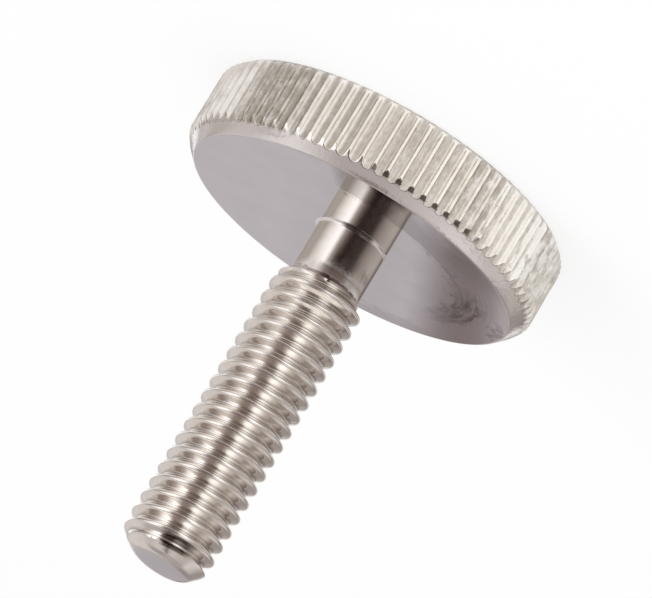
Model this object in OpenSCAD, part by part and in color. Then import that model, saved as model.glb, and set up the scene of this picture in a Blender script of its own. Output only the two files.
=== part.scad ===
// Thin knurled thumb screw with a plain neck under the head, made in one piece.
// Sizes are in millimetres. The origin is the centre of the bearing face under the
// head, and +Z runs along the shank to the tip, so the screw stands on its head.

/* [Head] */
// Diameter over the ridges of the knurl
head_d = 16; // [10:0.5:30]
// Thickness of the head
head_h = 3.5; // [2.5:0.1:8]
// Bevel around the top of the head, along the radius and along the axis
top_bevel = 0.3; // [0.1:0.05:0.6]
// Width of the bright bevelled band around the bearing face, along the radius
band_w = 0.4; // [0.2:0.02:0.8]
// Height of that band, along the axis
band_h = 0.43; // [0.2:0.02:0.8]
// Height of the steeper ends of the ridges beyond the band, along the axis
ridge_end_h = 0.28; // [0.1:0.02:0.5]

/* [Knurl] */
// Distance from ridge to ridge around the rim, rounded to give a whole number of ridges
ridge_pitch = 0.6; // [0.56:0.02:1.2]
// Height of a ridge above the floor of the valleys
ridge_h = 0.25; // [0.12:0.01:0.26]
// Width of the land on top of a ridge
ridge_land = 0.14; // [0.04:0.01:0.2]

/* [Shank] */
// Length from the bearing face to the tip
shank_length = 16; // [8:1:40]
// Length of the plain neck between the bearing face and the thread
neck_length = 2.3; // [1:0.1:5]
// Depth of the neck below the root of the thread, along the radius
neck_relief = 0.07; // [0.01:0.01:0.3]
// Depth of the flat tip below the root of the thread, along the radius
tip_relief = 0.26; // [0.02:0.01:0.5]
// Radius of the fillet where the neck meets the head
neck_fillet = 0.1; // [0.05:0.01:0.3]

/* [Thread] */
// Outside diameter of the thread
thread_d = 4; // [3:0.5:8]
// Distance from crest to crest along the axis
thread_pitch = 0.7; // [0.5:0.05:1]
// Width of the flat on the crest of the thread
crest_flat = 0.15; // [0.05:0.01:0.2]
// Width of the flat at the root of the thread
root_flat = 0.13; // [0.06:0.01:0.16]

/* [Hidden] */

HEAD_SIDES = 168;
SHANK_SIDES = 40;
VALLEY_SIDES = 14;
THREAD_STEPS = 20;

// How far a cutter runs past the metal that it cuts
overrun = 0.5;

// Bearing face, band and ridges
head_r = head_d / 2;
valley_floor_r = head_r - ridge_h;
// The valleys run a little way into the band, so that each ridge ends as a tooth
valley_run_in = 0.04;
band_r = valley_floor_r + valley_run_in;
face_r = band_r - band_w;

// A valley is part of a round groove as wide as the gap between two lands
ridge_count = round(PI * head_d / ridge_pitch);
valley_w = PI * head_d / ridge_count - ridge_land;
valley_r = (valley_w * valley_w / 4 + ridge_h * ridge_h) / (2 * ridge_h);

// A thread with flanks 60 degrees apart: its depth is what is left of the pitch by the two flats
flank_angle = 30;
flank_slope = tan(flank_angle);
thread_depth = (thread_pitch - crest_flat - root_flat) / 2 / flank_slope;
thread_r = thread_d / 2;
root_r = thread_r - thread_depth;

// The groove is cut in flat steps. The middle of a step lies nearer the axis than its corners,
// so the neck and the tip are set back from there, and the cutter's corners stand out past
// the crest.
step_sink = cos(180 / THREAD_STEPS);
root_low_r = root_r * step_sink;
neck_r = root_low_r - neck_relief;
tip_r = root_low_r - tip_relief;
cutter_clear = 0.01;
cutter_r = (thread_r + cutter_clear) / step_sink;

// Right half of the head in section, from the axis outwards
function head_section() = [
    [0, -head_h],
    [head_r - top_bevel, -head_h],
    [head_r, top_bevel - head_h],
    [head_r, -band_h - ridge_end_h],
    [band_r, -band_h],
    [face_r, 0],
    [0, 0],
];

// Quarter of a circle that turns the corner between the neck and the bearing face
function neck_corner(steps = 6) = [
    for (i = [0:steps])
        let (a = 90 * i / steps)
            [neck_r + neck_fillet * (1 - sin(a)), neck_fillet * (1 - cos(a))],
];

// Right half of the shank in section, with its foot sunk into the head
function shank_section() = concat(
    [[0, -head_h / 2], [neck_r + neck_fillet, -head_h / 2]],
    neck_corner(),
    [
        [neck_r, neck_length],
        [thread_r, neck_length + thread_r - neck_r],
        [thread_r, shank_length - thread_r + tip_r],
        [tip_r, shank_length],
        [0, shank_length],
    ]
);

// Section of the groove between two turns, as radius and height, from its root outwards
function groove_section() =
    let (
        root_half = root_flat / 2,
        outer_half = root_half + (cutter_r - root_r) * flank_slope
    )
    [[root_r, -root_half], [cutter_r, -outer_half], [cutter_r, outer_half], [root_r, root_half]];

module valley() {
    translate([valley_floor_r + valley_r, 0, -head_h - overrun])
        cylinder(h = head_h + 2 * overrun, r = valley_r, $fn = VALLEY_SIDES);
}

module head() {
    difference() {
        rotate_extrude($fn = HEAD_SIDES)
            polygon(head_section());
        for (i = [0:ridge_count - 1])
            rotate(360 * i / ridge_count)
                valley();
    }
}

// A right-hand groove swept along the thread, in flat steps
module thread_groove() {
    section = groove_section();
    corners = len(section);
    first_z = neck_length - thread_pitch / 2;
    last_z = shank_length + thread_pitch;
    steps = ceil((last_z - first_z) / thread_pitch * THREAD_STEPS);
    points = [
        for (i = [0:steps])
            let (a = 360 * i / THREAD_STEPS, z = first_z + thread_pitch * i / THREAD_STEPS)
                for (p = section)
                    [p[0] * cos(a), p[0] * sin(a), z + p[1]],
    ];
    sides = [
        for (i = [0:steps - 1])
            for (j = [0:corners - 1])
                let (
                    k = (j + 1) % corners,
                    here = i * corners,
                    next = here + corners
                )
                each [
                    [here + j, here + k, next + k],
                    [here + j, next + k, next + j],
                ],
    ];
    first_end = [for (j = [0:corners - 1]) corners - 1 - j];
    last_end = [for (j = [0:corners - 1]) steps * corners + j];
    polyhedron(points, concat(sides, [first_end, last_end]), convexity = 10);
}

module shank() {
    difference() {
        rotate_extrude($fn = SHANK_SIDES)
            polygon(shank_section());
        thread_groove();
    }
}

module thumb_screw() {
    color([0.74, 0.71, 0.68]) {
        head();
        shank();
    }
}

thumb_screw();
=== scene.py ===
"""Looks of the knurled thumb screw: its form with fine detail, its plated finish, and the studio."""

from functools import partial
from math import atan2, cos, hypot, pi, radians, sin, tan

import bmesh
import bpy
from mathutils import Matrix, Vector

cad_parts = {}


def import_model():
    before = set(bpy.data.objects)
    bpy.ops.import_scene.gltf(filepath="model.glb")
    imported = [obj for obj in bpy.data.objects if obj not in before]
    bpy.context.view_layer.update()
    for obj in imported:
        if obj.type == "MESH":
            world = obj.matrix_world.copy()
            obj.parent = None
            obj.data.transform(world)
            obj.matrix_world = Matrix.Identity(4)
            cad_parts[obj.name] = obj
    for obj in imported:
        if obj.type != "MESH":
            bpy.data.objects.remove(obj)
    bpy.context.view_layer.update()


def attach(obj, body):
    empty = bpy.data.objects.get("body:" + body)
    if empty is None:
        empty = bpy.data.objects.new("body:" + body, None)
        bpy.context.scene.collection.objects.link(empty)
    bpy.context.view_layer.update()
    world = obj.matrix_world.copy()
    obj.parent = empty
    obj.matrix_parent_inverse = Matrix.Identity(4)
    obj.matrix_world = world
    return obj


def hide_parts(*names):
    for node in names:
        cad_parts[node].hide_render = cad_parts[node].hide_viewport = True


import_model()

MM = 0.001

# Head, in millimetres, as the CAD part has it
HEAD_R = 8.0
HEAD_H = 3.5
TOP_BEVEL = 0.3

# Knurl: each valley is part of a round groove between two lands
RIDGES = 84
RIDGE_H = 0.25
RIDGE_LAND = 0.14
RIDGE_END_H = 0.28
RIDGE_WEAR = 0.035
VALLEY_FLOOR_R = HEAD_R - RIDGE_H
VALLEY_W = 2 * pi * HEAD_R / RIDGES - RIDGE_LAND
VALLEY_R = (VALLEY_W ** 2 / 4 + RIDGE_H ** 2) / (2 * RIDGE_H)

# Bevelled band round the bearing face. The valleys run a little way into it
VALLEY_RUN_IN = 0.04
BAND_W = 0.4
BAND_H = 0.43
BAND_R = VALLEY_FLOOR_R + VALLEY_RUN_IN
FACE_R = BAND_R - BAND_W

# Shank and thread, with flanks 60 degrees apart
LENGTH = 16.0
NECK_R = 1.546
NECK_END = 2.3
FILLET = 0.1
CREST_R = 2.0
PITCH = 0.7
CREST_FLAT = 0.15
ROOT_FLAT = 0.13
FLANK_SLOPE = tan(radians(30))
ROOT_R = CREST_R - (PITCH - CREST_FLAT - ROOT_FLAT) / 2 / FLANK_SLOPE

# The end is a soft dome inside the CAD part's bevel: a slight crown, turned down over a round edge.
# It is cut off a little askew: it stands out towards END_SIDE and sinks away from TILT_SIDE, both
# in degrees round the screw from its front.
END_BEVEL_R = 1.25
CROWN = 0.012
CROWN_TO = 1.0
END_EDGE_R = 1.12
END_SIDE = 60
END_SHIFT = 0.09
END_FROM = 15.5
TILT_SIDE = 105
END_TILT = 0.045

# The thread is a surface of its own between these two heights, long enough in turns to pass both.
# Its last turn runs softly into the bevel.
THREAD_FROM = 2.2
THREAD_TO = 15.7592
TURNS = 22
BEVEL_BLEND = 0.32

# The rim's finish starts on the bearing face, just inside the band
RIM_FROM_R = 7.34

# Points closer than this are one
MERGE = 0.0004

# The camera: its direction around the screw and above the floor, and its roll, in degrees. Its
# distance, and what it aims at beside the axis and above the bearing face, are in millimetres.
CAMERA_TURN = 18.08
CAMERA_RISE = 17.632
CAMERA_ROLL = -148.97
CAMERA_AT = 365.22
AIM_SIDE = 0.343
AIM_UP = 2.685


# ---------------------------------------------------------------- node helpers

def put(tree, kind, *values, out=0, **settings):
    """Adds a node, fills its inputs in order, and returns one of its outputs."""
    node = tree.nodes.new(kind)
    for name, value in settings.items():
        setattr(node, name, value)
    for socket, value in zip(node.inputs, values):
        feed(tree, socket, value)
    return node.outputs[out]


def feed(tree, socket, value):
    """Links an output to an input, or gives the input a plain value."""
    if isinstance(value, bpy.types.NodeSocket):
        tree.links.new(value, socket)
    elif value is not None:
        socket.default_value = value


def calc(tree, operation, *values):
    """One step of arithmetic."""
    return put(tree, "ShaderNodeMath", *values, operation=operation)


def times(tree, *values):
    """The product of several values."""
    product = values[0]
    for value in values[1:]:
        product = calc(tree, "MULTIPLY", product, value)
    return product


def largest(tree, *values):
    """The largest of several values."""
    most = values[0]
    for value in values[1:]:
        most = calc(tree, "MAXIMUM", most, value)
    return most


def clamp_range(tree, value, low, high, to_low=0.0, to_high=1.0, smooth=False):
    """Maps low..high to to_low..to_high and stops at both ends."""
    kind = "SMOOTHSTEP" if smooth else "LINEAR"
    return put(tree, "ShaderNodeMapRange", value, low, high, to_low, to_high, interpolation_type=kind)


def window(tree, value, start, full, full_to, end):
    """1 where a value is between full and full_to, falling to 0 at start and at end."""
    return times(tree, clamp_range(tree, value, start, full), clamp_range(tree, value, end, full_to))


def near(tree, value, middle, full, none):
    """1 where a value is within full of the middle, fading softly to 0 at a distance of none."""
    away = calc(tree, "ABSOLUTE", calc(tree, "SUBTRACT", value, middle))
    return clamp_range(tree, away, none, full, smooth=True)


def split(tree, place):
    """The three parts of a place."""
    return put(tree, "ShaderNodeSeparateXYZ", place).node.outputs


def level_part(tree, place):
    """A place with its height taken away."""
    return put(tree, "ShaderNodeVectorMath", place, (1, 1, 0), operation="MULTIPLY")


def radius_of(tree, place):
    """Distance of a place from the axis."""
    return put(tree, "ShaderNodeVectorMath", level_part(tree, place), out="Value", operation="LENGTH")


def height_of(tree, place):
    """Height of a place above the bearing face."""
    return put(tree, "ShaderNodeSeparateXYZ", place, out="Z")


def place_in_scene(name, data):
    """A new object in the scene."""
    thing = bpy.data.objects.new(name, data)
    bpy.context.scene.collection.objects.link(thing)
    return thing


# ---------------------------------------------------------------- one ridge of the head

def valley_columns():
    """Angle and radius across one ridge, from the middle of a valley to the next."""
    centre = VALLEY_FLOOR_R + VALLEY_R
    half_pitch = pi / RIDGES
    half = []
    for degrees in (0, 24, 46, 64, 78):
        a = radians(degrees)
        x, y = centre - VALLEY_R * cos(a), VALLEY_R * sin(a)
        half.append((atan2(y, x), hypot(x, y)))
    land = half_pitch - atan2(VALLEY_R, HEAD_R)
    half.append((half_pitch - 0.93 * land, HEAD_R - 0.045))
    half.append((half_pitch - 0.62 * land, HEAD_R - 0.014))
    half.append((half_pitch, HEAD_R - 0.001))
    return half + [(2 * half_pitch - a, r) for a, r in reversed(half[:-1])]


def lower_height(r):
    """Height at which the slope under the ridges and the band reaches a radius."""
    if r > BAND_R:
        return -BAND_H - RIDGE_END_H * (r - BAND_R) / (HEAD_R - BAND_R)
    return -BAND_H * (r - FACE_R) / (BAND_R - FACE_R)


def rim_rows(r, rows=14):
    """Points down the rim at one column, from the outer face of the head to the bearing face."""
    top = TOP_BEVEL - HEAD_H - (HEAD_R - r)
    low = lower_height(r)
    # Edge of the outer face and its bevel, with softened corners
    points = [
        (HEAD_R - TOP_BEVEL - 0.10, -HEAD_H),
        (HEAD_R - TOP_BEVEL - 0.02, -HEAD_H),
        (HEAD_R - TOP_BEVEL + 0.015, -HEAD_H + 0.008),
        (r - 0.02, top - 0.02),
        (r - 0.004, top + 0.01),
    ]
    # Down the rim
    for i in range(rows + 1):
        z = top + 0.03 + (low - 0.03 - top - 0.03) * i / rows
        points.append((r, z))
    # Over the end of the ridge, the band and the softened edge of the bearing face
    points.append((r - 0.004, low - 0.008))
    inner = min(BAND_R, r - 0.012)
    points.append((inner + 0.3 * (r - inner), lower_height(inner + 0.3 * (r - inner))))
    points += [(inner, lower_height(inner)), (BAND_R - 0.02, lower_height(BAND_R - 0.02))]
    points.append((FACE_R + 0.20, lower_height(FACE_R + 0.20)))
    points += [(FACE_R + 0.03, lower_height(FACE_R + 0.03)), (FACE_R, -0.012)]
    points += [(FACE_R - 0.03, 0), (FACE_R - 0.08, 0)]
    return points


def neck_rows():
    """Points from the bearing face over the fillet and up the neck."""
    foot = NECK_R + FILLET
    points = [(foot + 0.08, 0), (foot + 0.01, 0)]
    for i in range(1, 7):
        a = radians(90 * i / 6)
        points.append((foot - FILLET * sin(a), FILLET * (1 - cos(a))))
    points += [(NECK_R, z) for z in (0.15, 0.7, 1.4, THREAD_FROM - 0.05, THREAD_FROM)]
    return points


def tip_rows():
    """Points over the rounded end, from the thread inwards."""
    bevel = radians(45)
    start = atan2(2 * CROWN * CROWN_TO, 1)
    sink = CROWN * CROWN_TO ** 2
    edge = (END_BEVEL_R - CROWN_TO + sink) / (2 ** 0.5 - sin(start) - cos(start))
    points = [(END_BEVEL_R + LENGTH - THREAD_TO, THREAD_TO)]
    for i in range(7):
        a = bevel + (start - bevel) * i / 6
        r = CROWN_TO + edge * (sin(a) - sin(start))
        points.append((r, LENGTH - sink - edge * (cos(start) - cos(a))))
    return points + [(r, LENGTH - CROWN * r * r) for r in (0.8, 0.5, 0.2)]


def ridge_mesh():
    """One ridge with its slice of the head, the neck and the tip, ready to be repeated around the axis."""
    bm = bmesh.new()

    def vertex(angle, point):
        r, z = point
        return bm.verts.new((r * cos(angle) * MM, r * sin(angle) * MM, z * MM))

    def strips(angles, rows_of):
        grid = [[vertex(a, p) for p in rows_of(i)] for i, a in enumerate(angles)]
        for left, right in zip(grid, grid[1:]):
            for j in range(len(left) - 1):
                bm.faces.new((left[j], left[j + 1], right[j + 1], right[j]))
        return grid

    columns = valley_columns()
    rim = strips([a for a, r in columns], lambda i: rim_rows(columns[i][1]))
    coarse = [0, pi / RIDGES, 2 * pi / RIDGES]
    neck = strips(coarse, lambda i: neck_rows())
    tip = strips(coarse, lambda i: tip_rows())
    # Flat bearing face, flat outer face and flat end
    bm.faces.new([c[-1] for c in rim] + [c[0] for c in reversed(neck)])
    bm.faces.new([c[0] for c in rim] + [vertex(0, (0, -HEAD_H))])
    bm.faces.new([c[-1] for c in tip] + [vertex(0, (0, LENGTH))])
    mesh = bpy.data.meshes.new("one_ridge")
    bm.to_mesh(mesh)
    bm.free()
    return mesh


# ---------------------------------------------------------------- geometry nodes

def thread_section():
    """Height above a crest and radius of the points along one pitch, rounded at the crest and the root."""
    def flank(z):
        return CREST_R - (z - CREST_FLAT / 2) / FLANK_SLOPE

    half = [
        (0.0, CREST_R),
        (0.035, CREST_R - 0.003),
        (0.068, CREST_R - 0.019),
        (0.100, CREST_R - 0.053),
        (0.135, flank(0.135)),
        (0.235, flank(0.235)),
        (0.292, ROOT_R + 0.016),
    ]
    return half + [(PITCH / 2, ROOT_R)] + [(PITCH - z, r) for z, r in reversed(half[1:])]


def look_up(tree, index, values):
    """The value of a list at an index."""
    node = tree.nodes.new("GeometryNodeIndexSwitch")
    node.data_type = "FLOAT"
    while len(node.index_switch_items) < len(values):
        node.index_switch_items.new()
    feed(tree, node.inputs[0], index)
    for socket, value in zip(list(node.inputs)[1:], values):
        socket.default_value = value
    return node.outputs[0]


def thread_surface(tree, given):
    """A sheared grid rolled round the axis: its rows follow the helix, so crests and roots stay crisp."""
    section = thread_section()
    stations = len(section)
    columns = calc(tree, "ADD", calc(tree, "MULTIPLY", given["Ridges"], 2), 1)
    grid = put(tree, "GeometryNodeMeshGrid", 1.0, 1.0, columns, TURNS * stations + 1)
    place = split(tree, put(tree, "GeometryNodeInputPosition"))
    around = calc(tree, "ADD", place[0], 0.5)
    along = calc(tree, "ADD", place[1], 0.5)
    row = calc(tree, "ROUND", calc(tree, "MULTIPLY", along, TURNS * stations))
    turn = calc(tree, "FLOOR", calc(tree, "DIVIDE", calc(tree, "ADD", row, 0.5), stations))
    station = calc(tree, "SUBTRACT", row, calc(tree, "MULTIPLY", turn, stations))
    offset = look_up(tree, station, [z * MM for z, r in section])
    radius = look_up(tree, station, [r * MM for z, r in section])

    helix = calc(tree, "MULTIPLY_ADD", calc(tree, "ADD", turn, around), given["Pitch"], given["First Crest"])
    height = calc(tree, "ADD", helix, offset)
    height = calc(tree, "MAXIMUM", height, given["Thread From"])
    height = calc(tree, "MINIMUM", height, given["Thread To"])

    # The plain blank that the thread is rolled into: neck, shoulder, cylinder and bevel
    shoulder = calc(tree, "ADD", given["Neck Radius"],
                    calc(tree, "MAXIMUM", calc(tree, "SUBTRACT", height, given["Neck End"]), 0.0))
    left = calc(tree, "SUBTRACT", given["Length"], height)
    angle = calc(tree, "MULTIPLY", around, 2 * pi)
    bevel = calc(tree, "ADD", calc(tree, "ADD", given["Tip Radius"], left), end_shift(tree, angle))
    blank = calc(tree, "SMOOTH_MIN", bevel, given["Crest Radius"], BEVEL_BLEND * MM)
    radius = calc(tree, "MINIMUM", calc(tree, "MINIMUM", radius, blank), shoulder)

    spot = put(tree, "ShaderNodeCombineXYZ",
               calc(tree, "MULTIPLY", radius, calc(tree, "COSINE", angle)),
               calc(tree, "MULTIPLY", radius, calc(tree, "SINE", angle)),
               height)
    return put(tree, "GeometryNodeSetPosition", grid, None, spot)


def outward(tree, position, distance):
    """A move straight away from the axis."""
    away = put(tree, "ShaderNodeVectorMath", level_part(tree, position), operation="NORMALIZE")
    move = put(tree, "ShaderNodeVectorMath", away, operation="SCALE")
    feed(tree, move.node.inputs["Scale"], distance)
    return move


def end_shift(tree, angle):
    """How far the end stands out at an angle round the axis."""
    away = calc(tree, "SUBTRACT", angle, radians(CAMERA_TURN - END_SIDE))
    return calc(tree, "MULTIPLY", calc(tree, "COSINE", away), END_SHIFT * MM)


def ring_of_ridges(tree, given):
    """The slice repeated around the axis, with the end moved over to one side."""
    points = put(tree, "GeometryNodePoints", given["Ridges"])
    index = put(tree, "GeometryNodeInputIndex")
    angle = calc(tree, "DIVIDE", calc(tree, "MULTIPLY", index, 2 * pi), given["Ridges"])
    turned = put(tree, "FunctionNodeEulerToRotation", put(tree, "ShaderNodeCombineXYZ", 0.0, 0.0, angle))
    node = tree.nodes.new("GeometryNodeInstanceOnPoints")
    feed(tree, node.inputs["Points"], points)
    feed(tree, node.inputs["Instance"], given["Geometry"])
    feed(tree, node.inputs["Rotation"], turned)
    ring = put(tree, "GeometryNodeRealizeInstances", node.outputs[0])
    position = put(tree, "GeometryNodeInputPosition")
    place = split(tree, position)
    on_end = calc(tree, "GREATER_THAN", place[2], END_FROM * MM)
    share = times(tree, clamp_range(tree, radius_of(tree, position), 0.1 * MM, 1.3 * MM), on_end)
    shift = times(tree, share, end_shift(tree, calc(tree, "ARCTAN2", place[1], place[0])))
    return put(tree, "GeometryNodeSetPosition", ring, None, None, outward(tree, position, shift))


def end_lean(tree):
    """The move that sinks the end towards one side."""
    position = put(tree, "GeometryNodeInputPosition")
    turn = radians(CAMERA_TURN - TILT_SIDE)
    low_side = (cos(turn), sin(turn), 0)
    side = put(tree, "ShaderNodeVectorMath", position, low_side, out="Value", operation="DOT_PRODUCT")
    slope = calc(tree, "MAXIMUM", calc(tree, "SUBTRACT", END_EDGE_R * MM, side), 0.0)
    share = clamp_range(tree, height_of(tree, position), END_FROM * MM, 15.9 * MM)
    return put(tree, "ShaderNodeCombineXYZ", 0.0, 0.0, times(tree, share, slope, -END_TILT))


def ridge_wear(tree, given, position):
    """The move that wears the ridges: rolled ones are never quite even, and carry small nicks."""
    height = height_of(tree, position)
    on_ridge = clamp_range(tree, radius_of(tree, position), 7.82 * MM, 7.98 * MM)
    share = times(tree, on_ridge, window(tree, height, -3.15 * MM, -3.0 * MM, -0.75 * MM, -0.62 * MM))
    nicks = tree.nodes.new("ShaderNodeTexNoise")
    nicks.noise_dimensions = "4D"
    drawn_out = put(tree, "ShaderNodeVectorMath", position, (1, 1, 0.55), operation="MULTIPLY")
    feed(tree, nicks.inputs["Vector"], drawn_out)
    feed(tree, nicks.inputs["W"], calc(tree, "MULTIPLY", given["Seed"], 7.31))
    feed(tree, nicks.inputs["Scale"], 3200.0)
    feed(tree, nicks.inputs["Detail"], 1.5)
    deep = clamp_range(tree, nicks.outputs[0], 0.52, 0.80)
    return outward(tree, position, times(tree, deep, share, given["Knurl Wear"], -1.0))


def screw_tree():
    """Geometry nodes for the whole screw."""
    tree = bpy.data.node_groups.new("knurled_thumb_screw", "GeometryNodeTree")
    face = tree.interface
    face.new_socket("Geometry", in_out="INPUT", socket_type="NodeSocketGeometry")
    face.new_socket("Geometry", in_out="OUTPUT", socket_type="NodeSocketGeometry")
    face.new_socket("Ridges", in_out="INPUT", socket_type="NodeSocketInt")
    for name in ("Pitch", "First Crest", "Thread From", "Thread To", "Neck Radius", "Neck End",
                 "Crest Radius", "Tip Radius", "Length", "Knurl Wear"):
        face.new_socket(name, in_out="INPUT", socket_type="NodeSocketFloat")
    face.new_socket("Seed", in_out="INPUT", socket_type="NodeSocketInt")
    for name in ("Face Finish", "Knurl Finish", "Shank Finish"):
        face.new_socket(name, in_out="INPUT", socket_type="NodeSocketMaterial")
    entry = tree.nodes.new("NodeGroupInput")
    given = {s.name: s for s in entry.outputs if s.name}

    joined = tree.nodes.new("GeometryNodeJoinGeometry")
    tree.links.new(ring_of_ridges(tree, given), joined.inputs[0])
    tree.links.new(thread_surface(tree, given), joined.inputs[0])
    solid = put(tree, "GeometryNodeRealizeInstances", joined.outputs[0])
    merge = tree.nodes.new("GeometryNodeMergeByDistance")
    feed(tree, merge.inputs["Geometry"], solid)
    feed(tree, merge.inputs["Distance"], MERGE * MM)
    solid = put(tree, "GeometryNodeSetPosition", merge.outputs[0], None, None, end_lean(tree))
    position = put(tree, "GeometryNodeInputPosition")
    solid = put(tree, "GeometryNodeSetPosition", solid, None, None, ridge_wear(tree, given, position))
    solid = put(tree, "GeometryNodeSetShadeSmooth", solid)
    solid = put(tree, "GeometryNodeRealizeInstances", solid)

    # Each part of the surface gets its finish
    reach = radius_of(tree, position)
    height = height_of(tree, position)
    on_rim = put(tree, "FunctionNodeCompare", reach, RIM_FROM_R * MM, operation="GREATER_THAN")
    inside = put(tree, "FunctionNodeCompare", reach, RIM_FROM_R * MM, operation="LESS_EQUAL")
    low = put(tree, "FunctionNodeCompare", height, 0.0005 * MM, operation="LESS_THAN")
    on_face = put(tree, "FunctionNodeBooleanMath", low, inside, operation="AND")
    solid = put(tree, "GeometryNodeSetMaterial", solid, None, given["Shank Finish"])
    solid = put(tree, "GeometryNodeSetMaterial", solid, on_rim, given["Knurl Finish"])
    solid = put(tree, "GeometryNodeSetMaterial", solid, on_face, given["Face Finish"])
    leave = tree.nodes.new("NodeGroupOutput")
    tree.links.new(solid, leave.inputs[0])
    return tree


def make_screw(face_finish, knurl_finish, shank_finish):
    """Runs the geometry nodes and keeps the result as one plain closed mesh."""
    piece = place_in_scene("thumb_screw_plated", ridge_mesh())
    tree = screw_tree()
    modifier = piece.modifiers.new("form", "NODES")
    modifier.node_group = tree
    first_crest = NECK_END - 2 * PITCH
    sizes = {
        "Ridges": RIDGES, "Pitch": PITCH * MM, "First Crest": first_crest * MM,
        "Thread From": THREAD_FROM * MM, "Thread To": THREAD_TO * MM,
        "Neck Radius": NECK_R * MM, "Neck End": NECK_END * MM, "Crest Radius": CREST_R * MM,
        "Tip Radius": END_BEVEL_R * MM, "Length": LENGTH * MM, "Knurl Wear": RIDGE_WEAR * MM, "Seed": 3,
        "Face Finish": face_finish, "Knurl Finish": knurl_finish, "Shank Finish": shank_finish,
    }
    for item in tree.interface.items_tree:
        if item.in_out == "INPUT" and item.name in sizes:
            modifier[item.identifier] = sizes[item.name]
    graph = bpy.context.evaluated_depsgraph_get()
    mesh = bpy.data.meshes.new_from_object(piece.evaluated_get(graph), depsgraph=graph)
    piece.modifiers.clear()
    piece.data = mesh
    bm = bmesh.new()
    bm.from_mesh(mesh)
    bmesh.ops.recalc_face_normals(bm, faces=bm.faces)
    bm.to_mesh(mesh)
    bm.free()
    mesh.set_sharp_from_angle(angle=radians(35))
    return piece


# ---------------------------------------------------------------- finishes

def plated(name, colour, roughness):
    """A bright nickel plate: its material, tree and shader, and the place on the piece in millimetres.

    The colour and roughness stand in wherever the finish is read as one flat value.
    """
    material = bpy.data.materials.new(name)
    material.use_nodes = True
    tree = material.node_tree
    shader = tree.nodes["Principled BSDF"]
    shader.inputs["Metallic"].default_value = 1.0
    shader.inputs["Roughness"].default_value = roughness
    shader.inputs["Base Color"].default_value = (*colour, 1)
    place = tree.nodes.new("ShaderNodeTexCoord").outputs["Object"]
    mapping = tree.nodes.new("ShaderNodeMapping")
    mapping.inputs["Scale"].default_value = (1 / MM, 1 / MM, 1 / MM)
    tree.links.new(place, mapping.inputs["Vector"])
    return material, tree, shader, mapping.outputs[0]


def noise(tree, vector, scale, detail=2.0, roughness=0.5):
    """Cloudy values between 0 and 1."""
    node = tree.nodes.new("ShaderNodeTexNoise")
    feed(tree, node.inputs["Vector"], vector)
    node.inputs["Scale"].default_value = scale
    node.inputs["Detail"].default_value = detail
    node.inputs["Roughness"].default_value = roughness
    return node.outputs[0]


def mix_colour(tree, share, first, second):
    """The first colour, with a share of the second laid over it."""
    node = tree.nodes.new("ShaderNodeMix")
    node.data_type = "RGBA"
    feed(tree, node.inputs[0], share)
    feed(tree, node.inputs[6], (*first, 1) if isinstance(first, tuple) else first)
    feed(tree, node.inputs[7], (*second, 1) if isinstance(second, tuple) else second)
    return node.outputs[2]


def greys(stops):
    """Levels as stops of a colour ramp."""
    return [(place, (level, level, level, 1)) for place, level in stops]


def ramp_of(tree, value, stops):
    """A colour ramp through (place from 0 to 1, colour) stops."""
    node = tree.nodes.new("ShaderNodeValToRGB")
    marks = node.color_ramp.elements
    for i, (place, colour) in enumerate(stops):
        mark = marks[i] if i < 2 else marks.new(place)
        mark.position = place
        mark.color = colour
    feed(tree, node.inputs[0], value)
    return node.outputs[0]


def bump(tree, shader, height, strength, distance):
    """Fine relief from a height between 0 and 1."""
    node = tree.nodes.new("ShaderNodeBump")
    node.inputs["Strength"].default_value = strength
    node.inputs["Distance"].default_value = distance
    feed(tree, node.inputs["Height"], height)
    feed(tree, shader.inputs["Normal"], node.outputs[0])


def swing_of(tree, place):
    """Degrees round the screw from its front, positive to the right."""
    parts = split(tree, place)
    turn = calc(tree, "DEGREES", calc(tree, "ARCTAN2", parts[1], parts[0]))
    return calc(tree, "WRAP", calc(tree, "SUBTRACT", CAMERA_TURN, turn), 180.0, -180.0)


def round_screw(tree, swing, stops):
    """A level that changes round the screw: (swing in degrees, level) from -180 to 180."""
    where = clamp_range(tree, swing, -180, 180)
    return ramp_of(tree, where, greys(((degrees + 180) / 360, level) for degrees, level in stops))


# The colour of the marks on the faces
FACE_MARK = (0.17, 0.14, 0.13)


def darker_outer_arc(tree, ragged, swing):
    """A darker arc in the outer half of the face, at the front and the right, and faint at the far side."""
    right = times(tree, clamp_range(tree, ragged, 4.7, 5.1, smooth=True),
                  clamp_range(tree, ragged, 7.4, 6.0, 0.45, 1.0), window(tree, swing, 0, 12, 38, 62))
    front = times(tree, clamp_range(tree, ragged, 5.0, 5.4, smooth=True),
                  window(tree, swing, -19, -14, 8, 14), 1.25)
    far = times(tree, clamp_range(tree, ragged, 6.2, 6.6, smooth=True),
                window(tree, swing, 136, 146, 168, 176), 0.5)
    return largest(tree, right, front, far)


def smudges(tree, ragged, swing, streaks):
    """A smudge at the right of the face, with a mark outside it and one along the arc's inner edge."""
    side = 96
    smudge = times(tree, near(tree, swing, side, 12, 36), near(tree, ragged, 5.3, 0.35, 0.85),
                   clamp_range(tree, streaks, 0.60, 0.40, 0.25, 1.0))
    outside = times(tree, near(tree, swing, side, 4, 14), near(tree, ragged, 7.1, 0.05, 0.25), 0.6)
    inner_edge = times(tree, window(tree, swing, 18, 26, 64, 74), near(tree, ragged, 5.0, 0.1, 0.3), 0.45)
    return largest(tree, smudge, outside, inner_edge)


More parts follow.
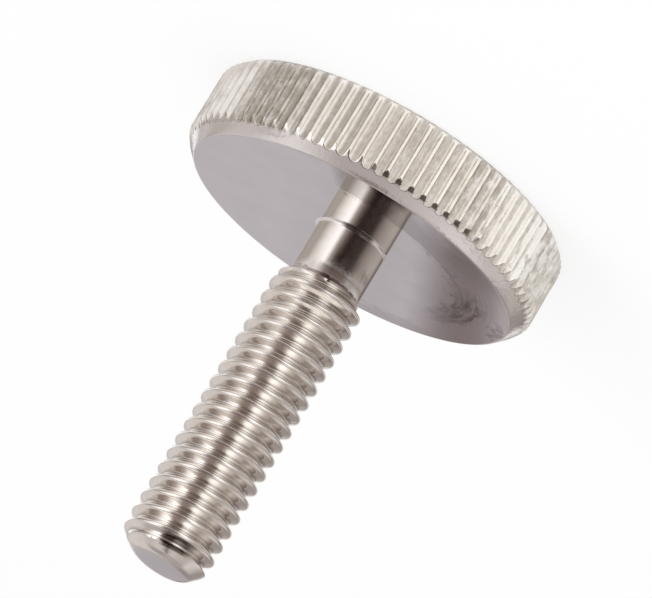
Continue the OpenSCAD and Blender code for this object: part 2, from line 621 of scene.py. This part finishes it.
def face_finish():
    """Polished flat faces with faint rings left by the turning tool and a few darker marks."""
    material, tree, shader, place = plated("nickel_polished_face", (0.72, 0.69, 0.69), 0.12)
    reach = radius_of(tree, place)
    swing = swing_of(tree, place)
    rings = noise(tree, put(tree, "ShaderNodeCombineXYZ", reach, 0.0, 0.0), 9.0, 3.0)
    cloud = noise(tree, place, 0.55, 3.0)
    rough = calc(tree, "ADD", clamp_range(tree, cloud, 0.3, 0.75, 0.05, 0.10),
                 clamp_range(tree, rings, 0.3, 0.7, -0.012, 0.012))
    feed(tree, shader.inputs["Roughness"], rough)
    clear, cloudy = (0.74, 0.70, 0.71), (0.70, 0.66, 0.67)
    plate = mix_colour(tree, clamp_range(tree, cloud, 0.35, 0.7), clear, cloudy)

    # The marks are drawn out along the turning rings, and their edges are ragged
    drawn_out = put(tree, "ShaderNodeCombineXYZ", times(tree, reach, 4.5), times(tree, swing, 0.05), 0.0)
    streaks = noise(tree, drawn_out, 1.0, 4.0, 0.65)
    nicks = noise(tree, place, 1.7, 4.0, 0.65)
    ragged = calc(tree, "ADD", reach, clamp_range(tree, streaks, 0.3, 0.7, -0.3, 0.3))
    ragged = calc(tree, "ADD", ragged, clamp_range(tree, nicks, 0.3, 0.7, -0.4, 0.4))
    darker_marks = largest(tree, times(tree, darker_outer_arc(tree, ragged, swing), 0.40),
                   times(tree, smudges(tree, ragged, swing, streaks), 0.80))
    feed(tree, shader.inputs["Base Color"], mix_colour(tree, darker_marks, plate, FACE_MARK))
    bump(tree, shader, rings, 0.06, 0.01 * MM)
    return material


# How much light is painted on the rim's plate round the screw, from painted shade to painted highlight
RIM_PAINTED_LIGHT = [
    (-180, 0.50), (-84, 0.45), (-72, 0.46), (-62, 0.52), (-57, 0.34), (-52, 0.05), (-44, 0.05),
    (-38, 0.24), (-31, 0.52), (-27, 0.95), (-20, 1.00), (-10, 0.90), (-3, 0.58), (6, 0.60),
    (14, 0.62), (22, 0.46), (29, 0.34), (33, 0.58), (37, 0.90), (46, 0.92), (53, 0.76),
    (58, 0.28), (66, 0.22), (80, 0.22), (180, 0.50),
]

# How lumpy the ridges' wear is round the rim, which also sets how strongly glints and shade are painted on
# the lumps
RIM_WEAR_AND_GLINTS = [
    (-180, 0.15), (-75, 0.10), (-60, 0.35), (-48, 0.50), (-36, 0.55), (-28, 0.20), (-6, 0.15),
    (2, 0.35), (16, 0.25), (24, 0.80), (33, 0.90), (37, 0.25), (46, 0.30), (50, 0.90),
    (58, 1.00), (70, 0.50), (90, 0.20), (180, 0.15),
]

# Across one ridge on the left: where light is painted up one side of a valley, and where shade is painted
# down the other
RIDGE_LIT_SIDE = [(0, 0.5), (0.07, 0), (0.54, 0), (0.66, 0.7), (0.80, 1), (1, 0.6)]
RIDGE_SHADED_SIDE = [(0, 0.2), (0.14, 1), (0.30, 1), (0.45, 0.3), (0.55, 0), (0.95, 0)]

# The rim's plate, each as the two colours of its speckle. Shaded and lit copies paint the rim's shade and
# highlights, and the valleys are darker than the ridges, partly from dirt and partly as painted shade
VALLEY_SHADED = (0.345, 0.30, 0.255), (0.51, 0.46, 0.40)
VALLEY_LIT = (0.64, 0.585, 0.515), (0.85, 0.79, 0.725)
RIDGE_SHADED = (0.46, 0.42, 0.37), (0.62, 0.57, 0.51)
RIDGE_LIT = (0.95, 0.90, 0.835), (1.0, 0.97, 0.92)
LUMP_GLINT = (0.93, 0.91, 0.87)
LUMP_SHADE = (0.40, 0.36, 0.31)
BAND_PLATE = (0.83, 0.78, 0.76)
VALLEY_SIDE_SHADE = (0.30, 0.26, 0.22)
RIDGE_END_SHADE = (0.08, 0.07, 0.055)


def knurl_finish():
    """Rolled rim: paler ridge tops over speckled valleys, with highlights and shade painted round the rim,
    and a bevelled band.
    """
    material, tree, shader, place = plated("nickel_knurled_rim", (0.74, 0.71, 0.66), 0.28)
    reach = radius_of(tree, place)
    height = height_of(tree, place)
    swing = swing_of(tree, place)
    drawn_out = put(tree, "ShaderNodeVectorMath", place, (1, 1, 0.45), operation="MULTIPLY")
    speckle = noise(tree, drawn_out, 9.0, 3.0, 0.6)
    patch = noise(tree, place, 1.6, 2.0, 0.6)
    lumps = noise(tree, drawn_out, 3.4, 3.0, 0.6)
    wear_and_glints = round_screw(tree, swing, RIM_WEAR_AND_GLINTS)
    # Painted light: how bright the rim's plate is painted round the screw, with a little random change
    painted_light = calc(tree, "ADD", round_screw(tree, swing, RIM_PAINTED_LIGHT),
                 clamp_range(tree, patch, 0.3, 0.7, -0.15, 0.15))

    def speckled(colours):
        return mix_colour(tree, clamp_range(tree, speckle, 0.32, 0.68), *colours)

    valley = mix_colour(tree, painted_light, speckled(VALLEY_SHADED), speckled(VALLEY_LIT))
    ridge = mix_colour(tree, clamp_range(tree, painted_light, 0.1, 0.5), speckled(RIDGE_SHADED), speckled(RIDGE_LIT))

    # On the left, light is painted up one side of each valley and shade down the other
    across = calc(tree, "FRACT", calc(tree, "DIVIDE", swing, 360 / RIDGES))
    left = window(tree, swing, -46, -40, -16, -8)
    lit_side = times(tree, ramp_of(tree, across, greys(RIDGE_LIT_SIDE)), left, clamp_range(tree, swing, -36, -28))
    top_and_lit_side = largest(tree, clamp_range(tree, reach, 7.775, 7.845, smooth=True), lit_side)
    shaded_side = times(tree, ramp_of(tree, across, greys(RIDGE_SHADED_SIDE)), left, 0.45)
    rim = mix_colour(tree, shaded_side, mix_colour(tree, top_and_lit_side, valley, ridge), VALLEY_SIDE_SHADE)

    # Lumps of wear with painted glints and shade on them, and painted shade on the ends of the ridges at the
    # front
    rim = mix_colour(tree, times(tree, wear_and_glints, clamp_range(tree, lumps, 0.52, 0.62, 0.0, 0.75)), rim, LUMP_GLINT)
    rim = mix_colour(tree, times(tree, wear_and_glints, clamp_range(tree, lumps, 0.46, 0.36, 0.0, 0.65)), rim, LUMP_SHADE)
    end_shade = times(tree, clamp_range(tree, height, -0.71, -0.65), clamp_range(tree, reach, 7.81, 7.84),
                  window(tree, swing, -9, -3, 28, 36))
    rim = mix_colour(tree, times(tree, end_shade, 0.9), rim, RIDGE_END_SHADE)
    in_knurl = clamp_range(tree, height, -0.40, -0.46)
    feed(tree, shader.inputs["Base Color"], mix_colour(tree, in_knurl, BAND_PLATE, rim))

    # Smoother on the ridge tops and the painted lit sides, smoothest on their ends and the band, rougher
    # where shade is painted on the ridge ends
    rough = clamp_range(tree, top_and_lit_side, 0.0, 1.0, 0.28, 0.16)
    on_end = clamp_range(tree, height, -0.76, -0.70)
    rough = calc(tree, "SUBTRACT", rough, times(tree, on_end, calc(tree, "SUBTRACT", rough, 0.10)))
    feed(tree, shader.inputs["Roughness"], calc(tree, "ADD", rough, times(tree, end_shade, 0.3)))
    bump(tree, shader, calc(tree, "ADD", speckle, times(tree, lumps, wear_and_glints, 5.0)), 0.35, 0.02 * MM)
    return material


# How much shade is painted in the groove of the thread round the screw
GROOVE_SHADE = [
    (-180, 0.30), (-88, 0.30), (-74, 0.60), (-62, 0.60), (-48, 0.30), (-38, 0.05), (-18, 0.02),
    (-10, 0.25), (2, 0.42), (14, 0.32), (40, 0.30), (55, 0.42), (70, 0.60), (84, 0.80),
    (104, 0.80), (120, 0.45), (180, 0.30),
]

# The shank's plate, and the colours that paint shade, highlights and reflections on it
SHANK_CLEAR = (0.95, 0.91, 0.86)
SHANK_CLOUDY = (0.89, 0.84, 0.78)
END_DARKENED = (0.74, 0.70, 0.685)
FILLET_HIGHLIGHT = (1.0, 0.98, 0.96)
GROOVE_SHADOW = (0.30, 0.25, 0.21)
NECK_DARK_REFLECTION = (0.14, 0.10, 0.08)
NECK_EDGE_SHADE = (0.20, 0.16, 0.14)
FLANK_DARK_REFLECTION = (0.12, 0.095, 0.08)
CREST_SHADOW = (0.08, 0.06, 0.05)
FILLET_SHADE = (0.10, 0.08, 0.07)


def painted_groove_shade(tree, place, swing, height):
    """Painted shade in the groove, heavier at the right of the first turns."""
    groove = times(tree, clamp_range(tree, radius_of(tree, place), 1.75, 1.66),
                   window(tree, height, 2.35, 2.6, 15.3, 15.6))
    first = times(tree, clamp_range(tree, height, 4.0, 3.3), clamp_range(tree, swing, 12, 24), 0.75)
    return times(tree, groove, largest(tree, round_screw(tree, swing, GROOVE_SHADE), first))


def neck_painted_shade(tree, plate, swing, height):
    """The plate with painted shade on the neck: a dark reflection in a strip at the front, one under the
    thread, and a darker edge at the right.
    """
    strip = times(tree, clamp_range(tree, height, 2.35, 2.15), window(tree, swing, -12, -3, 15, 27),
                  clamp_range(tree, height, 1.65, 2.05, 0.6, 0.86))
    shoulder = times(tree, window(tree, height, 1.80, 1.95, 2.30, 2.42),
                     window(tree, swing, -28, -12, 20, 76), 0.85)
    right = times(tree, clamp_range(tree, height, 2.45, 2.25), window(tree, swing, 66, 76, 100, 120), 0.55)
    plate = mix_colour(tree, strip, plate, NECK_DARK_REFLECTION)
    plate = mix_colour(tree, shoulder, plate, NECK_DARK_REFLECTION)
    return mix_colour(tree, right, plate, NECK_EDGE_SHADE)


def crest_painted_shade(tree, plate, swing, height):
    """The plate with painted shade at the front of the last turn: a dark reflection above a crest, and a
    shadow under the last one.
    """
    turns = calc(tree, "DIVIDE", calc(tree, "SUBTRACT", height, NECK_END), PITCH)
    turned = calc(tree, "DIVIDE", calc(tree, "SUBTRACT", swing, CAMERA_TURN), 360.0)
    along = calc(tree, "FRACT", calc(tree, "ADD", turns, turned))
    above = times(tree, window(tree, along, 0.10, 0.16, 0.44, 0.52),
                  window(tree, height, 14.85, 14.92, 15.50, 15.62),
                  window(tree, swing, -18, -8, 24, 42), 0.85)
    under = times(tree, window(tree, along, 0.66, 0.72, 0.90, 0.97),
                  window(tree, height, 15.25, 15.30, 15.74, 15.80),
                  window(tree, swing, -14, -6, 22, 32), 0.85)
    plate = mix_colour(tree, above, plate, FLANK_DARK_REFLECTION)
    return mix_colour(tree, under, plate, CREST_SHADOW)


def shank_finish():
    """Bright rolled thread and neck, with painted shade in the groove and painted dark reflections and shade
    at the front.
    """
    material, tree, shader, place = plated("nickel_rolled_shank", (0.76, 0.72, 0.67), 0.16)
    cloud = noise(tree, place, 2.2, 3.0)
    fine = noise(tree, put(tree, "ShaderNodeVectorMath", place, (1, 1, 5), operation="MULTIPLY"), 7.0, 2.0)
    height = height_of(tree, place)
    swing = swing_of(tree, place)
    fillet = times(tree, clamp_range(tree, height, 0.13, 0.09),
                   clamp_range(tree, radius_of(tree, place), 1.70, 1.66))
    rough = clamp_range(tree, cloud, 0.3, 0.75, 0.07, 0.13)
    feed(tree, shader.inputs["Roughness"], largest(tree, rough, times(tree, fillet, 0.25)))

    plate = mix_colour(tree, clamp_range(tree, cloud, 0.3, 0.7), SHANK_CLEAR, SHANK_CLOUDY)
    # Painted shade in the groove of the thread
    plate = mix_colour(tree, painted_groove_shade(tree, place, swing, height), plate, GROOVE_SHADOW)
    # The end is painted a little darker, standing in for a darker reflection
    plate = mix_colour(tree, clamp_range(tree, height, 15.84, 15.95, smooth=True), plate, END_DARKENED)
    # Painted dark reflections and shade on the neck
    plate = neck_painted_shade(tree, plate, swing, height)
    # Painted dark reflection and shadow at the front of the last turn
    plate = crest_painted_shade(tree, plate, swing, height)
    # The fillet has a painted highlight, and painted shade at the front
    front = near(tree, swing, 3.0, 18, 32)
    plate = mix_colour(tree, times(tree, fillet, calc(tree, "SUBTRACT", 1.0, front)), plate, FILLET_HIGHLIGHT)
    plate = mix_colour(tree, times(tree, fillet, front, 0.9), plate, FILLET_SHADE)
    feed(tree, shader.inputs["Base Color"], plate)
    bump(tree, shader, fine, 0.08, 0.01 * MM)
    return material


# ---------------------------------------------------------------- studio

TO_CAMERA = Vector((cos(radians(CAMERA_TURN)), sin(radians(CAMERA_TURN)), 0))
TO_SIDE = Vector((sin(radians(CAMERA_TURN)), -cos(radians(CAMERA_TURN)), 0))
UP = Vector((0, 0, 1))

# The brightest level a sheet may have
BRIGHTEST = 3.2

# How far behind the screw the backdrops stand, and the height about which one leans, in millimetres
BACKDROP_AT = 60
LEAN_FROM = 19

# Size of a lamp and its distance from the screw, in metres
LAMP_SIZE = 0.3
LAMP_AT = 0.5


def direction(swing, rise):
    """Level swing from the camera's side and rise above the floor, in degrees, as a direction."""
    a, e = radians(swing), radians(rise)
    return TO_SIDE * (sin(a) * cos(e)) + TO_CAMERA * (cos(a) * cos(e)) + UP * sin(e)


def empty_material(name):
    """A material with no nodes yet, which doesn't count as a lamp, and its tree."""
    material = bpy.data.materials.new(name)
    material.use_nodes = True
    material.node_tree.nodes.clear()
    material.cycles.emission_sampling = "NONE"
    return material, material.node_tree


def paper(name, glow_of, soft, one_way):
    """Paper that glows and fades out towards its edges. glow_of(tree, across) gives its colour."""
    material, tree = empty_material(name)
    across, up, _ = split(tree, tree.nodes.new("ShaderNodeTexCoord").outputs["UV"])

    def edge(value, width):
        middle = calc(tree, "ABSOLUTE", calc(tree, "SUBTRACT", value, 0.5))
        return clamp_range(tree, middle, 0.5, 0.5 - width, smooth=True)

    share = times(tree, edge(across, soft[0]), edge(up, soft[1]))
    if one_way:
        share = times(tree, share, tree.nodes.new("ShaderNodeNewGeometry").outputs["Backfacing"])
    glow = put(tree, "ShaderNodeEmission", glow_of(tree, across), BRIGHTEST)
    clear = put(tree, "ShaderNodeBsdfTransparent", (1, 1, 1, 1))
    both = put(tree, "ShaderNodeMixShader", share, clear, glow)
    feed(tree, tree.nodes.new("ShaderNodeOutputMaterial").inputs[0], both)
    return material


def even(level, tint=(1, 1, 1)):
    """One level all over a sheet."""
    return lambda tree, across: tuple(level * c / BRIGHTEST for c in tint) + (1,)


def graded(span, stops, cast=(1, 1, 1)):
    """Levels that change across a sheet, as (place, level) from one side to the other.

    Dark levels are a little warmer and bright ones a little colder. A cast tints them all.
    """
    def colour(level):
        warm = min(max((0.9 - level) / 0.9, 0.0), 1.0)
        brown = min(max((0.3 - level) / 0.3, 0.0), 1.0)
        cold = min(max((level - 1.0) / 0.6, 0.0), 1.0)
        tint = (1 + 0.16 * warm + 0.3 * brown, 1, 1 - 0.05 * warm - 0.05 * brown + 0.06 * cold)
        return [level / BRIGHTEST * a * b for a, b in zip(tint, cast)] + [1]

    def glow(tree, across):
        start, end = span
        colours = [((place - start) / (end - start), colour(level)) for place, level in stops]
        return ramp_of(tree, across, colours)

    return glow


def sheet(name, spot, glow_of, soft, steps=(16, 16), one_way=False):
    """A studio sheet round the screw that only shows in its reflections. spot(u, v) places it."""
    bm = bmesh.new()
    layer = bm.loops.layers.uv.new("UVMap")
    across, up = steps
    grid = [[bm.verts.new(spot(i / across, j / up)) for j in range(up + 1)] for i in range(across + 1)]
    for i in range(across):
        for j in range(up):
            corners = ((i, j), (i + 1, j), (i + 1, j + 1), (i, j + 1))
            f = bm.faces.new([grid[a][b] for a, b in corners])
            for loop, (a, b) in zip(f.loops, corners):
                loop[layer].uv = (a / across, b / up)
    mesh = bpy.data.meshes.new(name)
    bm.to_mesh(mesh)
    bm.free()
    card = place_in_scene(name, mesh)
    mesh.materials.append(paper(name, glow_of, soft, one_way))
    for ray in ("camera", "diffuse", "transmission", "shadow", "volume_scatter"):
        setattr(card, "visible_" + ray, False)


def part_way(span, share):
    """The value at a share of the way through a span."""
    return span[0] + (span[1] - span[0]) * share


def wall(name, rise, distance, glow_of, soft):
    """A sheet curved all round the screw between two rises, its distance in metres."""
    def spot(u, v):
        return direction(part_way(ALL_ROUND, u), part_way(rise, v)) * distance

    sheet(name, spot, glow_of, soft, (72, 16))


def apron(name, swing, reach, height, glow_of, soft, one_way=False):
    """A level sheet round the screw, its reach and height in millimetres. One-way paper glows downwards."""
    def spot(u, v):
        out = reach[0] * (reach[1] / reach[0]) ** v
        return (direction(part_way(swing, u), 0) * out + UP * height) * MM

    sheet(name, spot, glow_of, soft, (72, 16), one_way)


def backdrop(name, side, heights, glow_of, soft, lean=0.0):
    """An upright sheet behind the screw, in millimetres. It leans to the left by lean for each step up."""
    def spot(u, v):
        height = part_way(heights, v)
        across = part_way(side, u) - lean * (height - LEAN_FROM)
        return (TO_SIDE * across - TO_CAMERA * BACKDROP_AT + UP * height) * MM

    sheet(name, spot, glow_of, soft)


def seen_directly(tree):
    """1 for rays from the camera and for rays that a piece reflects or lets through."""
    ray = tree.nodes.new("ShaderNodeLightPath").outputs
    return largest(tree, ray["Is Camera Ray"], ray["Is Glossy Ray"], ray["Is Transmission Ray"])


def floor():
    """A pale floor that stays white to the camera and keeps the screw's soft shadow."""
    mesh = bpy.data.meshes.new("floor")
    size, z = 1.4, -HEAD_H * MM - 0.00002
    corners = [(-size, -size, z), (size, -size, z), (size, size, z), (-size, size, z)]
    mesh.from_pydata(corners, [], [(0, 1, 2, 3)])
    ground = place_in_scene("floor", mesh)
    material, tree = empty_material("floor_paper")
    darker_marks = put(tree, "ShaderNodeBsdfDiffuse", (0.9, 0.9, 0.9, 1))
    white = put(tree, "ShaderNodeEmission", (1, 1, 1, 1), 1.0)
    both = put(tree, "ShaderNodeMixShader", times(tree, seen_directly(tree), 0.8), darker_marks, white)
    feed(tree, tree.nodes.new("ShaderNodeOutputMaterial").inputs[0], both)
    mesh.materials.append(material)


def world():
    """White surroundings, a little dimmer as a light than as a background."""
    sky = bpy.data.worlds.new("studio")
    bpy.context.scene.world = sky
    sky.use_nodes = True
    tree = sky.node_tree
    tree.nodes.clear()
    level = clamp_range(tree, seen_directly(tree), 0.0, 1.0, 0.75, 1.0)
    glow = put(tree, "ShaderNodeBackground", (1, 1, 1, 1), level)
    feed(tree, tree.nodes.new("ShaderNodeOutputWorld").inputs[0], glow)


def softbox(name, swing, rise, power):
    """A square soft lamp aimed at the screw, which the metal doesn't reflect."""
    data = bpy.data.lights.new(name, "AREA")
    data.shape = "SQUARE"
    data.size = LAMP_SIZE
    data.energy = power
    lamp = place_in_scene(name, data)
    away = direction(swing, rise)
    lamp.location = away * LAMP_AT
    lamp.rotation_mode = "QUATERNION"
    lamp.rotation_quaternion = away.to_track_quat("Z", "Y")
    lamp.visible_glossy = False


def camera():
    """A long lens that looks down on the screw, rolled so that the tip points to the lower left."""
    data = bpy.data.cameras.new("camera")
    data.type = "PERSP"
    data.lens = 496.9
    data.sensor_width = 36
    data.clip_start = 0.01
    data.clip_end = 10
    eye = place_in_scene("camera", data)
    turn = Matrix.Rotation(radians(CAMERA_TURN + 90), 4, "Z")
    tilt = Matrix.Rotation(radians(90 - CAMERA_RISE), 4, "X")
    roll = Matrix.Rotation(radians(CAMERA_ROLL), 4, "Z")
    turned = turn @ tilt @ roll
    aim = (TO_SIDE * AIM_SIDE + UP * AIM_UP) * MM
    back = turned @ Vector((0, 0, 1))
    eye.matrix_world = Matrix.Translation(aim + back * CAMERA_AT * MM) @ turned
    bpy.context.scene.camera = eye


# ---------------------------------------------------------------- what the metal reflects

ALL_ROUND = (-180, 180)
NEAR_ALL_ROUND = (-150, 150)

# Shares of a sheet that fade out at its sides and at its lower and upper edge
SHARP = (0.0001, 0.0001)
SOFT_TENT = (0.0001, 0.22)
SOFT_RING = (0.0001, 0.05)
SOFT_APRON = (0.0001, 0.12)
SOFT_NECK_RING = (0.02, 0.04)
SOFT_CARD = (0.02, 0.08)
SOFT_TIP_CARD = (0.08, 0.08)

# Casts of the paper
WARM = (0.985, 1, 0.96)
COLD = (0.985, 1, 1.045)
ROSY = (1.03, 0.99, 1.03)

# Levels of light on the sheets round the screw, as (swing in degrees, level): mostly dark at the
# front, where the camera stands, and bright on either side of it
TOP_LIGHT = [
    (-180, 0.40), (-150, 0.30), (-95, 0.60), (-70, 0.50), (-40, 0.25), (-20, 0.20), (-5, 0.20),
    (20, 0.45), (60, 0.55), (120, 0.35), (150, 0.40), (180, 0.40),
]
SIDE_LIGHT = [
    (-180, 0.50), (-160, 0.65), (-110, 0.60), (-90, 0.50), (-64, 1.20), (-44, 1.20), (-28, 0.20),
    (-10, 0.10), (6, 0.20), (22, 0.85), (30, 0.90), (50, 0.35), (80, 0.40), (112, 0.65),
    (140, 0.30), (156, 0.30), (180, 0.50),
]
INNER_LIGHT = [
    (-180, 0.50), (-110, 0.85), (-90, 0.50), (-75, 0.45), (-50, 0.70), (-44, 0.65), (-25, 0.25),
    (-10, 0.20), (0, 0.40), (9, 1.10), (15, 1.40), (24, 1.30), (42, 0.65), (65, 0.30), (95, 0.30),
    (120, 0.60), (150, 0.65), (180, 0.50),
]
OUTER_LIGHT = [
    (-180, 0.80), (-150, 1.25), (-130, 1.10), (-100, 0.25), (-85, 0.25), (-70, 0.45), (-44, 1.60),
    (-36, 1.50), (-28, 0.55), (-20, 0.20), (0, 0.15), (6, 0.25), (12, 0.95), (22, 1.40),
    (40, 0.60), (55, 0.40), (85, 0.60), (120, 0.15), (150, 0.55), (180, 0.80),
]
NECK_LIGHT = [
    (-150, 0.40), (-125, 0.50), (-100, 0.50), (-72, 1.10), (-50, 1.50), (-41, 1.50), (-28, 0.40),
    (-18, 0.20), (0, 0.05), (40, 0.05), (65, 0.30), (80, 0.40), (105, 0.50), (125, 0.50), (150, 0.20),
]
BAND_LIGHT = [
    (-180, 0.70), (-150, 0.60), (-120, 0.70), (-100, 0.60), (-75, 0.80), (-60, 0.85), (-30, 0.45),
    (0, 0.45), (60, 0.80), (90, 0.55), (110, 0.25), (135, 0.15), (150, 0.35), (165, 0.85), (180, 0.70),
]
RIM_LIGHT = [
    (-180, 0.40), (-120, 0.45), (-84, 0.70), (-64, 0.65), (-48, 0.85), (-28, 0.80), (-10, 0.90),
    (26, 1.00), (44, 0.90), (56, 1.00), (70, 0.80), (95, 0.80), (120, 0.60), (180, 0.40),
]

# Levels across the back card, which the bearing face shows, as (millimetres to the right, level)
FACE_LIGHT = [
    (-34, 0.58), (-4, 0.59), (2, 0.53), (3.5, 0.56), (5.3, 0.25), (6.5, 0.20), (7.7, 0.26),
    (8.2, 0.41), (9, 0.53),
]


def light_sheets():
    """The sheets of paper whose reflections draw the metal."""
    round_light = partial(graded, ALL_ROUND)
    neck_light = graded(NEAR_ALL_ROUND, NECK_LIGHT, WARM)
    face_span = (-34, 9)
    wall("top_tent", (-3, 90), 0.9, round_light(TOP_LIGHT), SHARP)
    wall("side_tent", (-1, 62), 0.62, round_light(SIDE_LIGHT), SOFT_TENT)
    apron("neck_ring", NEAR_ALL_ROUND, (23.5, 43), 10.0, neck_light, SOFT_NECK_RING, one_way=True)
    apron("band_ring", ALL_ROUND, (10.2, 15.8), 10.0, round_light(BAND_LIGHT), SOFT_RING, one_way=True)
    apron("outer_apron", ALL_ROUND, (10, 620), 0.25, round_light(OUTER_LIGHT), SHARP)
    apron("inner_apron", ALL_ROUND, (10, 34), 0.3, round_light(INNER_LIGHT), SOFT_APRON)
    apron("rim_mat", ALL_ROUND, (7.7, 40), -3.45, round_light(RIM_LIGHT), SOFT_RING)
    backdrop("back_card", face_span, (9, 27), graded(face_span, FACE_LIGHT, COLD), SOFT_CARD, lean=0.35)
    backdrop("tip_card", (-24, 24), (27, 60), even(0.49, ROSY), SOFT_TIP_CARD)


camera()
world()
floor()
light_sheets()
softbox("left_lamp", -65, 30, power=0.9)
softbox("top_lamp", 20, 75, power=0.5)

screw = make_screw(face_finish(), knurl_finish(), shank_finish())
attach(screw, "root")
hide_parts("thumb_screw")

bpy.context.scene.view_settings.view_transform = "Standard"
